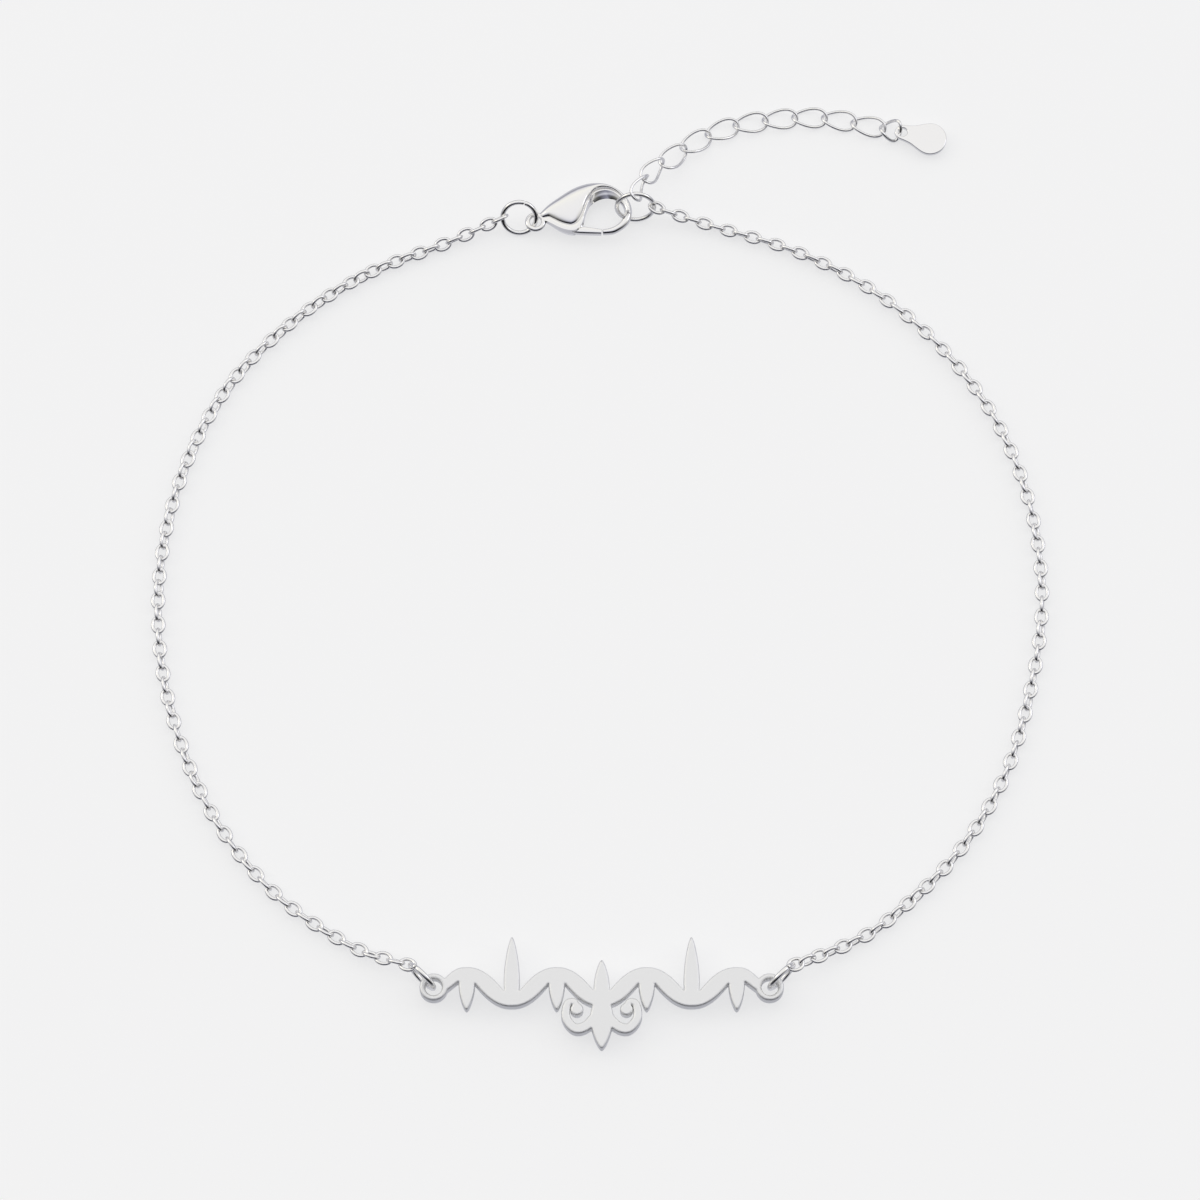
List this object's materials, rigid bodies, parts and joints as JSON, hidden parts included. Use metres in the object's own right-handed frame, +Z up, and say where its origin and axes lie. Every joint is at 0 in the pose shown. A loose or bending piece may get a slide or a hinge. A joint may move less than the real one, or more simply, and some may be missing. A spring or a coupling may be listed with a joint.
{
  "type": "name bracelet",
  "caption": "Fine silver chain bracelet with a pierced ornamental plate, jump rings, lobster clasp with a spring lever, and a curb extender that ends in a drop.",
  "frame": {"origin": "on the table under the middle of the whole bracelet as it lies, extender included", "axes": "+Z up from the table, +X along the plate to the right as worn facing up, +Y from the plate to the clasp"},
  "size_m": [0.0658, 0.0741, 0.0033],
  "materials": {
    "satin_plate": "satin sterling silver sheet with polished cut edges",
    "ring_silver": "polished sterling silver wire",
    "chain_silver": "polished fine silver chain wire",
    "clasp_silver": "high polish cast sterling silver",
    "tag_silver": "high polish sterling silver sheet"
  },
  "bodies": {
    "root": {"name_plate": "satin_plate", "plate_ring_left": "ring_silver", "plate_ring_right": "ring_silver", "chain_left": "chain_silver", "chain_right": "chain_silver", "clasp_ring": "ring_silver", "clasp_body": "clasp_silver", "end_ring": "ring_silver", "extender_link_01": "chain_silver", "extender_link_02": "chain_silver", "extender_link_03": "chain_silver", "extender_link_04": "chain_silver", "extender_link_05": "chain_silver", "extender_link_06": "chain_silver", "extender_link_07": "chain_silver", "extender_link_08": "chain_silver", "extender_link_09": "chain_silver", "extender_link_10": "chain_silver", "tag_ring": "ring_silver", "extender_tag": "tag_silver"},
    "lever": {"clasp_lever": "clasp_silver"}
  },
  "joints": [
    {"name": "gate_hinge", "type": "hinge", "parent": "root", "child": "lever", "pos_m": [-0.00189, 0.02658, 0.0009], "axis": [-0.0116, -0.0015, 0.9999], "range_deg": [0, 26], "stiffness_Nm_per_rad": 0.00002}
  ]
}
